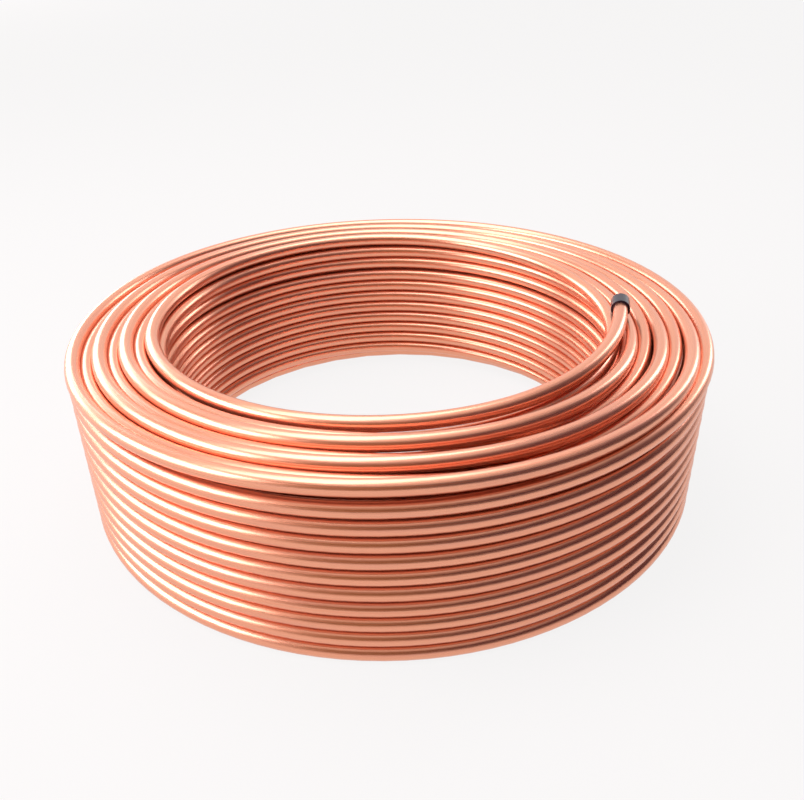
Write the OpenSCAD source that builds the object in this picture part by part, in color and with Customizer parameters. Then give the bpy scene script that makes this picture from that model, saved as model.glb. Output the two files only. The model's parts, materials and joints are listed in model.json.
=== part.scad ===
// Level-wound coil of round copper tube, lying flat on its end, with plastic caps on both tube ends.
// Millimetres, +Z up, the floor at z = 0 and the coil's axis on Z. The photo looks towards +Y.

/* [Tube] */
// outside diameter of the copper tube
tube_d = 19.05; // [12:0.05:28]

/* [Inner layer] */
// radius of the clear bore at the floor
bore_r = 290; // [200:1:400]
// how much wider the bore is at its top turn
bore_flare = 16.5; // [0:0.5:30]
// closed turns in the innermost layer, below the free turn
inner_turns = 11; // [6:1:18]
// air between neighbouring turns of the innermost layer
inner_gap = 0.15; // [0.1:0.05:2]

/* [Outer layers] */
// number of pairs of layers wound round the innermost one
layer_pairs = 3; // [1:1:5]
// air between one layer's turns and the next layer's
layer_gap = 0.1; // [0.1:0.05:3]
// closed turns in the outermost layer, between its tail turn and its crown turn
outer_turns = 9; // [4:1:16]
// air between neighbouring turns of the outermost layer
outer_gap = 1.4; // [0.3:0.1:4]

/* [Crown] */
// height that the free turn has sprung up
free_lift = 12.5; // [0:0.5:20]
// how far the free turn has sprung into the bore
free_in = 8; // [0:0.5:14]
// air between the free end's cap and the crown turn beside it, over which the end stands
free_gap = 5.7; // [0.1:0.1:8]
// air between the crown and the outermost layer's top turn at the back, where the crown rests
crown_gap = 0.2; // [0.1:0.1:3]
// how far the crown's inner side has sunk below the free turn
crown_drop = 8; // [0:0.5:12]
// angle that the crown is raised at the front
crown_tilt = 1.2; // [0:0.1:2]
// how far the crown stands out past the outermost layer
crown_out = 4.8; // [0:0.1:6]
// depth of the low crown turns below the high ones
crown_dip = 7; // [2:0.5:10]

/* [Free ends] */
// where the free turn runs out into its straight end, anticlockwise from +X
inner_end_deg = -13; // [-60:1:60]
// length of that straight end, with the part in its cap
inner_straight = 60; // [30:1:90]
// length of the free turn round the coil
free_turn_deg = 310; // [180:1:340]
// where the tail turn ends in its cap, anticlockwise from +X
outer_end_deg = 120; // [60:1:170]
// length of the tail turn round the coil
tail_turn_deg = 325; // [180:1:340]

/* [Caps] */
// wall of a cap's skirt
cap_wall = 3; // [1:0.1:4]
// length of a cap's skirt over the tube
cap_skirt = 26; // [6:0.5:30]
// rise of a cap's rounded end
cap_dome = 7; // [2:0.5:10]
// play between a cap and the tube
cap_play = 0.05; // [0.02:0.01:0.3]
// air between the tail end's cap and the turn above it
tail_gap = 0.4; // [0.1:0.1:3]

/* [Hidden] */
$fn = 96;

copper = [0.80, 0.50, 0.36];
plastic = [0.13, 0.11, 0.14];

inner_step = tube_d + inner_gap;
outer_step = tube_d + outer_gap;
layer_step = sqrt(tube_d * tube_d - outer_step * outer_step / 4) + layer_gap;
last = 2 * layer_pairs;
web = tube_d / 3;
cap_bore = tube_d + 2 * cap_play;
cap_d = cap_bore + 2 * cap_wall;

base_z = tube_d / 2;
tail_z = cap_d / 2;
outer_base_z = tail_z + (cap_d + tube_d) / 2 + tail_gap;
inner_top_z = base_z + (inner_turns - 1) * inner_step;
outer_top_z = outer_base_z + (outer_turns - 1) * outer_step;
free_z = inner_top_z + tube_d + free_lift;

foot_r = bore_r + tube_d / 2;
top_r = foot_r + bore_flare;
outer_r = top_r + last * layer_step;
crown_r = outer_r + crown_out;
crown_inner_z = free_z - crown_drop;
crown_z = outer_top_z + tube_d + crown_gap + crown_r * sin(crown_tilt);
crown_foot_z = min(inner_top_z, outer_top_z) - tube_d;

// Radius of the innermost layer's turn number k, counted up from the floor.
function inner_r(k) = foot_r + bore_flare * k / inner_turns;

// Centres on the coil's section of the turns that show inside, outside and underneath.
inner_wall = [for (k = [0 : inner_turns - 1]) [inner_r(k), base_z + k * inner_step]];
outer_wall = [for (k = [0 : outer_turns - 1]) [outer_r, outer_base_z + k * outer_step]];
foot_turns = [
    for (k = [1 : last - 1]) [foot_r + (outer_r - foot_r) * k / last, base_z + (k % 2) * tube_d / 2]
];

// Centre of each crown turn, every second one lying low between its neighbours.
function crown_turn(k) = [
    top_r + (crown_r - top_r) * k / last,
    crown_inner_z + (crown_z - crown_inner_z) * k / last - (k % 2) * crown_dip
];
crown_turns = [for (k = [1 : last]) crown_turn(k)];

// The free turn is tilted towards +X, so that its straight end stands with its cap clear of the crown.
free_turn = [top_r - free_in, free_z];
free_end_r = norm([free_turn.x, inner_straight]);
free_reach = (cap_d + tube_d) / 2 + free_gap;
free_end_z = crown_turns[0].y + sqrt(pow(free_reach, 2) - pow(crown_turns[0].x - free_end_r, 2));
free_tilt = asin((free_end_z - free_z) / free_end_r);

module turns(centres)
    for (c = centres)
        translate(c) circle(d = tube_d);

// The hidden turns are one core through the centres of the turns that show.
module wall_section() {
    polygon(concat([inner_wall[0]], foot_turns, outer_wall,
        [for (k = [inner_turns - 1 : -1 : 1]) inner_wall[k]]));
    turns(inner_wall);
    turns(outer_wall);
    turns(foot_turns);
}

// The crown's own core reaches down into the wall's.
module crown_section() {
    polygon(concat(crown_turns, [[crown_turns[last - 2].x, crown_foot_z], [crown_turns[0].x, crown_foot_z]]));
    turns(crown_turns);
}

// Tilts the crown about the centre of its outermost turn, so that it rises at the front.
module crown_place()
    translate([0, 0, crown_z]) rotate([-crown_tilt, 0, 0]) translate([0, 0, -crown_z]) children();

// A loose turn and the web that joins it to its neighbour.
module loose_section(centre, neighbour) {
    way = neighbour - centre;
    translate(centre) {
        circle(d = tube_d);
        rotate(atan2(way.y, way.x)) translate([0, -web / 2]) square([norm(way), web]);
    }
}

// Tilts the free turn about its own centre.
module free_place()
    crown_place() translate([0, 0, free_z]) rotate([0, -free_tilt, 0]) translate([0, 0, -free_z]) children();

// Places a child that points along +Z at a loose turn's end with this angle and centre, along or against
// the winding.
module at_end(deg, centre, way)
    rotate([0, 0, deg]) translate([centre.x, 0, centre.y]) rotate([-90 * way, 0, 0]) children();

// A loose turn that runs back from its end at this angle, and the straight end that carries the cap.
module loose_turn(deg, turn_deg, straight, centre, neighbour, way) {
    rotate([0, 0, deg]) rotate_extrude(angle = -way * turn_deg) loose_section(centre, neighbour);
    at_end(deg, centre, way) cylinder(d = tube_d, h = straight);
}

module tube_coil() color(copper) {
    rotate_extrude() wall_section();
    crown_place() rotate_extrude() crown_section();
    free_place() loose_turn(inner_end_deg, free_turn_deg, inner_straight, free_turn, crown_turns[0], 1);
    loose_turn(outer_end_deg, tail_turn_deg, cap_skirt, [outer_r, tail_z], outer_wall[0], -1);
}

// A cup on the straight tube end, its floor against the tube's end face.
module cap_section() {
    dome_r = (cap_d * cap_d / 4 + cap_dome * cap_dome) / (2 * cap_dome);
    difference() {
        square([cap_d / 2, cap_skirt]);
        square([cap_bore / 2, cap_skirt]);
    }
    intersection() {
        translate([0, cap_skirt]) square([cap_d / 2, cap_dome]);
        translate([0, cap_skirt + cap_dome - dome_r]) circle(r = dome_r);
    }
}

module cap() color(plastic)
    rotate_extrude() cap_section();

module inner_end_cap()
    free_place() at_end(inner_end_deg, free_turn, 1) translate([0, 0, inner_straight - cap_skirt]) cap();

module outer_end_cap()
    at_end(outer_end_deg, [outer_r, tail_z], -1) cap();

tube_coil();
inner_end_cap();
outer_end_cap();
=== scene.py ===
"""A level-wound coil of bright copper tube lying on a pale floor, with a plastic cap on each tube end.

Lengths are millimetres in the named values and metres in the meshes. Turns are counted along the tube
from its inner free end, and the tube runs clockwise, seen from above, so its angle falls as turns rise.
"""
import json
import math

import bpy
import numpy as np
from mathutils import Matrix, Vector


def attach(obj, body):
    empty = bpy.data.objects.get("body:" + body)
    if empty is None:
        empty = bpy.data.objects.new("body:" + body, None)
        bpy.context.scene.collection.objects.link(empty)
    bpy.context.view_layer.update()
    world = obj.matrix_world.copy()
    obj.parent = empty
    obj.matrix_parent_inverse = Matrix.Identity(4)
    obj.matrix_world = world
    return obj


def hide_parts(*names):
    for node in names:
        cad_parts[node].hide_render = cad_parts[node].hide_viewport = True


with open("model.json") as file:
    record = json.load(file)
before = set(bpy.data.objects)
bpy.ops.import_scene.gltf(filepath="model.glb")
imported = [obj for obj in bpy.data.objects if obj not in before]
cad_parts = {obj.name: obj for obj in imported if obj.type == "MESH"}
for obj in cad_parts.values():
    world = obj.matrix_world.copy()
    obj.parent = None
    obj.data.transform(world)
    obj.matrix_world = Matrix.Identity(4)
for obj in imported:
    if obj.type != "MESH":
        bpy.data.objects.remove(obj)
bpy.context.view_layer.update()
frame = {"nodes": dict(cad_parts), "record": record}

MM = 0.001

# The tube, the rings of its mesh in a turn, where it shows and where it is hidden, and its layers.
TUBE_D = 19.05
TUBE_SIDES = 16
RINGS_SHOWN = 110
RINGS_HIDDEN = 34
LAYERS = 7
CAP_SKIRT = 26.0

# The tube's inner end, from the frame, and the mouth of its cap, where the winding starts.
INNER_END = next(m for m in frame["record"]["mounts"] if m["name"] == "inner_tube_end")
END_AXIS = np.array(INNER_END["axis"])
END_POINT = np.array(INNER_END["pos_m"]) / MM
MOUTH = END_POINT - END_AXIS * CAP_SKIRT
START_DEG = math.degrees(math.atan2(MOUTH[1], MOUTH[0]))
END_DEG = 120.0
LAYER_TURNS = 10.5
FIRST_LAYER_TURNS = 11.5

# Angles of the coil's front and back, and of the places where the tube passes from one layer to the next.
FRONT_DEG = -90.0
BACK_DEG = 90.0
FOOT_CROSS_DEG = 150.0
TOP_CROSS_DEG = -40.0
CROSS_TURNS = 0.12

# Turns to either side of a top crossing that show, and turns from a rising layer's wall to the back.
CROWN_TURNS = 1.4
RISE_TURNS = 0.65

# Radii of the innermost and outermost layers, at the floor, at the top of the wall and in the crown.
INNER_FOOT_R = 299.6
INNER_TOP_R = 316.1
OUTER_FOOT_R = 411.5
OUTER_TOP_R = 414.1
CROWN_R = 417.75
CROWN_LEFT_R = 414.5

# At the right the crown's turns lie side by side, with the rising layers' a little further in.
CROWN_RIGHT_R = 417.2
RIGHT_STEP = 19.7
RIGHT_IN = 3.0

# Heights of the turns. The innermost layer is wound close, with one slack place, and the outermost layer is
# stacked close over the tail, which is eased to its cap's height.
FLOOR_Z = TUBE_D / 2
TAIL_Z = 12.6
TAIL_PITCH = 19.1
TAIL_TURNS = 0.6
INNER_PITCH = 18.85
SLACK = 3.05
SLACK_TURN = 3.3
SLACK_LENGTH = 0.02
WALL_TOP_Z = 202.7
WALL_PITCH = 21.0

# Heights round the crown of the innermost layer's turn, and how much lower the outermost layer's is. At the
# right all lie level.
BACK_Z, BACK_FALL = 222.3, 8.7
LEFT_Z, LEFT_FALL = 225.5, 9.5
FRONT_Z, FRONT_FALL = 242.2, 9.5
RIGHT_Z = 216.4

# How far the rising layers' crown turns sit down between their neighbours, less so at the front.
CROWN_DIP = 9.0
FRONT_DIP = 7.0

# The free turn has sprung into the bore, and its last stretch runs out again into the cap.
FREE_Z = 234.0
FREE_IN = 17.0
FREE_TURNS = 0.45
RUN_OUT_TURNS = 0.1


def angle_of(turn):
    """Angle round the coil in radians, anticlockwise from +X, at this many turns from the free end."""
    return math.radians(START_DEG) - 2 * math.pi * turn


def turn_at(deg, near):
    """The turn count nearest to this one at which the tube is at this angle."""
    share = ((START_DEG - deg) % 360) / 360
    return round(near - share) + share


def layer_ends():
    """Turn counts at which the layers meet, from the free end to the tail."""
    ends = [0.0, turn_at(FOOT_CROSS_DEG, FIRST_LAYER_TURNS)]
    for layer in range(1, LAYERS - 1):
        ends.append(turn_at(TOP_CROSS_DEG if layer % 2 else FOOT_CROSS_DEG, ends[-1] + LAYER_TURNS))
    ends.append(turn_at(END_DEG, ends[-1] + LAYER_TURNS))
    return ends


ENDS = layer_ends()


def crown_turn(layer, back):
    """One layer's crown turn: its turn count, radius and height at the front, left, back and right."""
    out = layer / (LAYERS - 1)
    low = layer % 2
    radius = INNER_TOP_R + (CROWN_R - INNER_TOP_R) * out
    left_r = INNER_TOP_R + (CROWN_LEFT_R - INNER_TOP_R) * out
    right_r = CROWN_RIGHT_R - RIGHT_STEP * (LAYERS - 1 - layer) - RIGHT_IN * low
    front = FRONT_Z - FRONT_FALL * out - FRONT_DIP * low if layer else FREE_Z
    return [
        (back - 0.5, radius, front),
        (back - 0.25, left_r, LEFT_Z - LEFT_FALL * out - CROWN_DIP * low),
        (back, radius, BACK_Z - BACK_FALL * out - CROWN_DIP * low),
        (back + 0.25, right_r, RIGHT_Z),
    ]


def inner_wall(back):
    """The innermost layer's wall, from its second turn down to the floor, with its slack place."""
    foot = turn_at(BACK_DEG, ENDS[1])
    top = FLOOR_Z + INNER_PITCH * (foot - back - 1) + SLACK
    slack = FLOOR_Z + INNER_PITCH * (foot - SLACK_TURN)
    last = (foot - 1, FLOOR_Z + INNER_PITCH)
    return [(back + 1, top), (SLACK_TURN, slack + SLACK), (SLACK_TURN + SLACK_LENGTH, slack), last]


def outer_wall(top, foot):
    """The outermost layer's wall: evenly spaced at the front, and stacked close above the end of the tail."""
    pitch = (WALL_TOP_Z - FLOOR_Z) / (foot - top)
    knots = [(top, WALL_TOP_Z), (foot, FLOOR_Z)]
    for row in range(1, round(foot - top)):
        knots.append((foot - row, FLOOR_Z + pitch * row))
    for row in range(1, math.ceil(ENDS[-1] - top)):
        even = FLOOR_Z + pitch * (foot - ENDS[-1] + row)
        knots.append((ENDS[-1] - row, max(even, TAIL_Z + TAIL_PITCH * row)))
    return sorted(knots)


def layer_knots(layer):
    """Turn count, radius and height where one layer's winding changes, falling or rising."""
    out = layer / (LAYERS - 1)
    back_share = (BACK_DEG - TOP_CROSS_DEG) / 360
    if layer % 2:
        back = turn_at(BACK_DEG, ENDS[layer + 1] - back_share)
        wall = [(ENDS[layer], FLOOR_Z), (back - RISE_TURNS, RIGHT_Z - WALL_PITCH)]
    else:
        back = turn_at(BACK_DEG, ENDS[layer] + 1 - back_share)
        front = back + 0.5
        foot = turn_at(FRONT_DEG, ENDS[layer + 1])
        if layer == 0:
            wall = inner_wall(back)
        elif layer == LAYERS - 1:
            wall = outer_wall(front, foot)
        else:
            wall = [(front, WALL_TOP_Z), (foot, FLOOR_Z)]
    foot_r = INNER_FOOT_R + (OUTER_FOOT_R - INNER_FOOT_R) * out
    top_r = INNER_TOP_R + (OUTER_TOP_R - INNER_TOP_R) * out
    wall = [(turn, foot_r + (top_r - foot_r) * z / BACK_Z, z) for turn, z in wall]
    crown = crown_turn(layer, back)
    return wall + crown if layer % 2 else crown + wall


def smooth(values, width):
    """Running mean over this many samples, with the ends held."""
    padded = np.pad(values, width // 2, mode="edge")
    return np.convolve(padded, np.ones(width) / width, mode="valid")[: len(values)]


def centre_line():
    """The tube's centre line in millimetres, finely sampled where it shows.

    The raw winding runs straight from knot to knot and is smoothed, so the tube eases from layer to layer.
    The free turn is drawn in by a share that falls as one less the square of the turns from its end. Its last
    stretch is eased to the mouth of its cap, and the tail to its cap's height, by a share that falls as the
    square of the distance left.
    """
    fine = 1 / 360
    turn = np.arange(0, ENDS[-1], fine)
    knots = np.array([knot for layer in range(LAYERS) for knot in layer_knots(layer)])
    radius = np.interp(turn, knots[:, 0], knots[:, 1])
    height = np.interp(turn, knots[:, 0], knots[:, 2])
    width = 2 * round(CROSS_TURNS / fine / 2) + 1
    radius = smooth(radius, width)
    height = smooth(height, width)
    radius -= FREE_IN * np.clip(1 - (turn / FREE_TURNS) ** 2, 0, 1)
    run_out = np.clip(1 - turn / RUN_OUT_TURNS, 0, 1) ** 2
    radius += (math.hypot(MOUTH[0], MOUTH[1]) - radius[0]) * run_out
    height += (MOUTH[2] - height[0]) * run_out
    tail = np.clip(1 - (ENDS[-1] - turn) / TAIL_TURNS, 0, 1) ** 2
    height += (TAIL_Z - height[-1]) * tail
    shown = np.zeros_like(turn)
    for layer in range(LAYERS):
        if layer in (0, LAYERS - 1):
            shown += (turn >= ENDS[layer]) & (turn <= ENDS[layer + 1])
        top = ENDS[layer + (layer % 2)]
        shown += np.abs(turn - top) < CROWN_TURNS
    density = np.where(shown > 0, RINGS_SHOWN, RINGS_HIDDEN)
    count = np.concatenate([[0], np.cumsum(density[1:] * fine)])
    steps = np.interp(np.arange(0, count[-1], 1), count, turn)
    steps = np.append(steps, turn[-1])
    r = np.interp(steps, turn, radius)
    z = np.interp(steps, turn, height)
    a = angle_of(steps)
    return np.stack([r * np.cos(a), r * np.sin(a), z], axis=1)


def add_piece(name, points, faces, replaced):
    """Puts a mesh in the scene as a piece on the coil's one body, in place of a CAD node."""
    mesh = bpy.data.meshes.new(name)
    mesh.from_pydata(points.tolist(), [], faces)
    mesh.update()
    piece = bpy.data.objects.new(name, mesh)
    bpy.context.collection.objects.link(piece)
    mesh.shade_smooth()
    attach(piece, "root")
    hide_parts(replaced)
    return piece


def coil():
    """The one long tube: a circle carried along the centre line.

    Each ring lies across the line's tangent, on an outward axis and the axis square to both, so that the
    rings never twist. A straight stub inside each cap ends the tube, closed by a flat face. The attribute
    "drawn" carries a point's place round the tube, as a cosine and a sine, and along it in metres.
    """
    line = centre_line()
    last = line[-1] - line[-2]
    last /= np.linalg.norm(last)
    line = np.vstack([END_POINT, line, line[-1] + last * CAP_SKIRT])
    tangent = np.gradient(line, axis=0)
    tangent /= np.linalg.norm(tangent, axis=1)[:, None]
    out = line * [1, 1, 0]
    out -= tangent * np.sum(out * tangent, axis=1)[:, None]
    out /= np.linalg.norm(out, axis=1)[:, None]
    across = np.cross(tangent, out)
    v = np.arange(TUBE_SIDES) * 2 * np.pi / TUBE_SIDES
    ring = out[:, None, :] * np.cos(v)[None, :, None] + across[:, None, :] * np.sin(v)[None, :, None]
    points = line[:, None, :] + ring * TUBE_D / 2
    rings = len(line)
    i = np.arange(rings - 1)[:, None] * TUBE_SIDES
    j = np.arange(TUBE_SIDES)[None, :]
    k = (j + 1) % TUBE_SIDES
    sides = np.stack([i + j, i + k, i + TUBE_SIDES + k, i + TUBE_SIDES + j], axis=-1).reshape(-1, 4)
    first_end = list(range(TUBE_SIDES))[::-1]
    last_end = [(rings - 1) * TUBE_SIDES + side for side in range(TUBE_SIDES)]
    faces = sides.tolist() + [first_end, last_end]
    piece = add_piece("copper_coil", points.reshape(-1, 3) * MM, faces, "tube_coil")
    length = np.concatenate([[0], np.cumsum(np.linalg.norm(np.diff(line, axis=0), axis=1))]) * MM
    around = np.stack(np.broadcast_arrays(np.cos(v), np.sin(v), length[:, None]), axis=-1)
    drawn = piece.data.attributes.new("drawn", "FLOAT_VECTOR", "POINT")
    drawn.data.foreach_set("vector", around.astype(np.float32).reshape(-1))
    return piece


def linear(hex_colour):
    """An sRGB hex colour as the linear RGBA that the shaders take."""
    srgb = [int(hex_colour[i : i + 2], 16) / 255 for i in (1, 3, 5)]
    return tuple(c / 12.92 if c <= 0.04045 else ((c + 0.055) / 1.055) ** 2.4 for c in srgb) + (1.0,)


def add(tree, kind, settings=None, **inputs):
    """Adds a node. Settings are its properties, and inputs are values or the sockets linked to it."""
    node = tree.nodes.new(kind)
    for name, value in (settings or {}).items():
        setattr(node, name, value)
    for name, value in inputs.items():
        key = int(name[1:]) if name[0] == "i" and name[1:].isdigit() else name.replace("_", " ")
        if isinstance(value, bpy.types.NodeSocket):
            tree.links.new(value, node.inputs[key])
        else:
            node.inputs[key].default_value = value
    return node


def new_material(name):
    """An empty node material and its tree."""
    material = bpy.data.materials.new(name)
    material.use_nodes = True
    material.node_tree.nodes.clear()
    return material, material.node_tree


def bright_drawn_copper():
    """Bright drawn copper tube, C12200: a satin metal with fine drawing lines along the tube.

    Long narrow noise along the tube gives the lines in its colour, gloss and surface. The paler and darker
    lines in its colour are partly drawing lines and partly painted reflection streaks of lights. A slower noise
    gives the pinkish bloom of handling.
    """
    material, tree = new_material("bright_drawn_copper")
    drawn = add(tree, "ShaderNodeAttribute", {"attribute_name": "drawn"})
    lines_at = add(tree, "ShaderNodeMapping", None, Vector=drawn.outputs["Vector"], Scale=(9.0, 9.0, 0.8))
    lines = add(tree, "ShaderNodeTexNoise", None, Vector=lines_at.outputs[0], Scale=1.0, Detail=4.0,
                Roughness=0.6)
    bloom_at = add(tree, "ShaderNodeMapping", None, Vector=drawn.outputs["Vector"], Scale=(1.0, 1.0, 7.0))
    bloom = add(tree, "ShaderNodeTexNoise", None, Vector=bloom_at.outputs[0], Scale=1.0, Detail=3.0)
    # Colour lines along the tube: partly drawing lines, partly painted reflection streaks of lights.
    drawn_lines_and_painted_streaks = add(tree, "ShaderNodeMix", {"data_type": "RGBA"}, i0=lines.outputs["Fac"],
                   i6=linear("#E69270"), i7=linear("#F7B698"))
    bloomed = add(tree, "ShaderNodeMapRange", None, Value=bloom.outputs["Fac"], i1=0.5, i2=0.8, i4=0.4)
    tint = add(tree, "ShaderNodeMix", {"data_type": "RGBA"}, i0=bloomed.outputs[0],
               i6=drawn_lines_and_painted_streaks.outputs[2], i7=linear("#D49286"))
    rough = add(tree, "ShaderNodeMapRange", None, Value=lines.outputs["Fac"], i1=0.3, i2=0.7, i3=0.34, i4=0.24)
    bump = add(tree, "ShaderNodeBump", None, Height=lines.outputs["Fac"], Strength=0.08, Distance=0.0006)
    shader = add(tree, "ShaderNodeBsdfPrincipled", None, Base_Color=tint.outputs[2], Metallic=0.88,
                 Roughness=rough.outputs[0], Normal=bump.outputs[0])
    add(tree, "ShaderNodeOutputMaterial", None, Surface=shader.outputs[0])
    return material


def moulded_polyethylene():
    """Glossy near-black polyethylene cap, injection moulded: a soft sheen and a faint purple cast."""
    material, tree = new_material("moulded_polyethylene")
    place = add(tree, "ShaderNodeTexCoord")
    wave = add(tree, "ShaderNodeTexNoise", None, Vector=place.outputs["Object"], Scale=220.0, Detail=2.0)
    tint = add(tree, "ShaderNodeMix", {"data_type": "RGBA"}, i0=wave.outputs["Fac"],
               i6=linear("#120A18"), i7=linear("#22122C"))
    bump = add(tree, "ShaderNodeBump", None, Height=wave.outputs["Fac"], Strength=0.1, Distance=0.0003)
    shader = add(tree, "ShaderNodeBsdfPrincipled", None, Base_Color=tint.outputs[2], Roughness=0.28,
                 Normal=bump.outputs[0])
    add(tree, "ShaderNodeOutputMaterial", None, Surface=shader.outputs[0])
    return material


def ray_kinds(tree):
    """Two sockets: one is 1 for rays from the camera, the other for rays that are mirrored or let through."""
    ray = add(tree, "ShaderNodeLightPath")
    mirrored = add(tree, "ShaderNodeMath", {"operation": "MAXIMUM"}, i0=ray.outputs["Is Glossy Ray"],
                   i1=ray.outputs["Is Transmission Ray"])
    return ray.outputs["Is Camera Ray"], mirrored.outputs[0]


# The share of a clean white that the floor shows to the camera and in the metal.
FLOOR_WHITE = 0.9


def pale_floor():
    """A pale studio floor: the camera and mirrored rays see it nearly white, and it keeps the coil's shadow."""
    material, tree = new_material("pale_studio_floor")
    camera_ray, mirrored = ray_kinds(tree)
    seen = add(tree, "ShaderNodeMath", {"operation": "MAXIMUM"}, i0=camera_ray, i1=mirrored)
    share = add(tree, "ShaderNodeMath", {"operation": "MULTIPLY"}, i0=seen.outputs[0], i1=FLOOR_WHITE)
    diffuse = add(tree, "ShaderNodeBsdfDiffuse", None, Color=linear("#D8CCC6"))
    white = add(tree, "ShaderNodeEmission", None, Color=linear("#FBFBFB"), Strength=1.0)
    mixed = add(tree, "ShaderNodeMixShader", None, Fac=share.outputs[0], i1=diffuse.outputs[0],
                i2=white.outputs[0])
    add(tree, "ShaderNodeOutputMaterial", None, Surface=mixed.outputs[0])
    return material


def studio_floor():
    """A level square of floor that reaches past the view."""
    half = 12.0
    mesh = bpy.data.meshes.new("studio_floor")
    corners = [(-half, -half, 0), (half, -half, 0), (half, half, 0), (-half, half, 0)]
    mesh.from_pydata(corners, [], [(0, 1, 2, 3)])
    floor = bpy.data.objects.new("studio_floor", mesh)
    bpy.context.collection.objects.link(floor)
    mesh.materials.append(pale_floor())


# The camera, in millimetres, degrees and pixels of the photograph's 804 by 800 frame.
CAMERA_AT = (0.0, -1090.08, 710.2)
CAMERA_YAW = 0.7956
CAMERA_PITCH = 29.693
CAMERA_ROLL = -1.1219
FOCAL_PIXELS = 866.33
FRAME_PIXELS = 804


def camera():
    """The photograph's camera: turned by its yaw, tipped down by its pitch and then rolled."""
    yaw, pitch, roll = (math.radians(d) for d in (CAMERA_YAW, CAMERA_PITCH, CAMERA_ROLL))
    ahead = Vector((math.sin(yaw) * math.cos(pitch), math.cos(yaw) * math.cos(pitch), -math.sin(pitch)))
    right = Vector((math.cos(yaw), -math.sin(yaw), 0))
    up = right.cross(ahead)
    rolled_right = math.cos(roll) * right + math.sin(roll) * up
    rolled_up = -math.sin(roll) * right + math.cos(roll) * up
    data = bpy.data.cameras.new("camera")
    data.sensor_width = 36
    data.lens = FOCAL_PIXELS / FRAME_PIXELS * data.sensor_width
    view = bpy.data.objects.new("camera", data)
    bpy.context.collection.objects.link(view)
    turn = Matrix((rolled_right, rolled_up, -ahead)).transposed()
    view.matrix_world = Matrix.Translation(Vector(CAMERA_AT) * MM) @ turn.to_4x4()
    bpy.context.scene.camera = view


# All the lamps are one slightly cool white.
LAMP_COLOUR = "#FBF5FF"


def softbox(name, at, aim, size, power):
    """A rectangular area lamp of the lamps' cool white, at one point in metres and facing another."""
    data = bpy.data.lights.new(name, "AREA")
    data.shape = "RECTANGLE"
    data.size, data.size_y = size
    data.energy = power
    data.color = linear(LAMP_COLOUR)[:3]
    lamp = bpy.data.objects.new(name, data)
    bpy.context.collection.objects.link(lamp)
    lamp.location = at
    lamp.rotation_euler = (Vector(aim) - Vector(at)).to_track_quat("-Z", "Y").to_euler()


def studio():
    """A studio that the camera sees as white, with soft lamps overhead, at the left and at both back corners.

    The metal mirrors it white above, behind and at the left, and dim low on the camera's side, where it is
    warm at the left and plum at the right. That dim side gives the tube its dark bands.
    """
    world = bpy.data.worlds.new("studio")
    bpy.context.scene.world = world
    world.use_nodes = True
    tree = world.node_tree
    tree.nodes.clear()
    place = add(tree, "ShaderNodeTexCoord")
    axes = add(tree, "ShaderNodeSeparateXYZ", None, Vector=place.outputs["Generated"])
    smooth_step = {"interpolation_type": "SMOOTHSTEP"}
    high = add(tree, "ShaderNodeMapRange", smooth_step, Value=axes.outputs["Z"], i1=0.6, i2=0.95)
    behind = add(tree, "ShaderNodeMapRange", smooth_step, Value=axes.outputs["Y"], i1=0.2, i2=0.75)
    left = add(tree, "ShaderNodeMapRange", smooth_step, Value=axes.outputs["X"], i1=-0.4, i2=-0.9)
    upper = add(tree, "ShaderNodeMath", {"operation": "MAXIMUM"}, i0=high.outputs[0], i1=behind.outputs[0])
    pale = add(tree, "ShaderNodeMath", {"operation": "MAXIMUM"}, i0=upper.outputs[0], i1=left.outputs[0])
    right = add(tree, "ShaderNodeMapRange", smooth_step, Value=axes.outputs["X"], i1=-0.2, i2=0.5)
    low_side = add(tree, "ShaderNodeMix", {"data_type": "RGBA"}, i0=right.outputs[0],
                   i6=linear("#8A6428"), i7=linear("#4A3040"))
    camera_ray, mirrored = ray_kinds(tree)
    backdrop = add(tree, "ShaderNodeMix", {"data_type": "RGBA"}, i0=mirrored,
                   i6=linear("#D0CAC8"), i7=linear("#FDFDFD"))
    room = add(tree, "ShaderNodeMix", {"data_type": "RGBA"}, i0=pale.outputs[0],
               i6=low_side.outputs[2], i7=backdrop.outputs[2])
    colour = add(tree, "ShaderNodeMix", {"data_type": "RGBA"}, i0=camera_ray,
                 i6=room.outputs[2], i7=linear("#FDFDFD"))
    sky = add(tree, "ShaderNodeBackground", None, Color=colour.outputs[2], Strength=1.0)
    add(tree, "ShaderNodeOutputWorld", None, Surface=sky.outputs[0])
    softbox("overhead_softbox", (-0.4, 0.3, 2.6), (0, 0, 0.1), (3.0, 1.6), 52)
    softbox("left_softbox", (-2.6, -0.7, 1.3), (-0.2, 0, 0.15), (2.8, 1.4), 84)
    softbox("back_left_softbox", (-6.8, 7.5, 2.6), (-0.2, 0, 0.2), (7.0, 3.6), 420)
    softbox("back_right_softbox", (8.4, 7.2, 3.9), (0.3, 0, 0.2), (2.0, 5.0), 200)


tube = coil()
tube.data.materials.append(bright_drawn_copper())
for cap in ("inner_end_cap", "outer_end_cap"):
    frame["nodes"][cap].data.materials.clear()
    frame["nodes"][cap].data.materials.append(moulded_polyethylene())
studio_floor()
camera()
studio()
bpy.context.scene.view_settings.view_transform = "Standard"
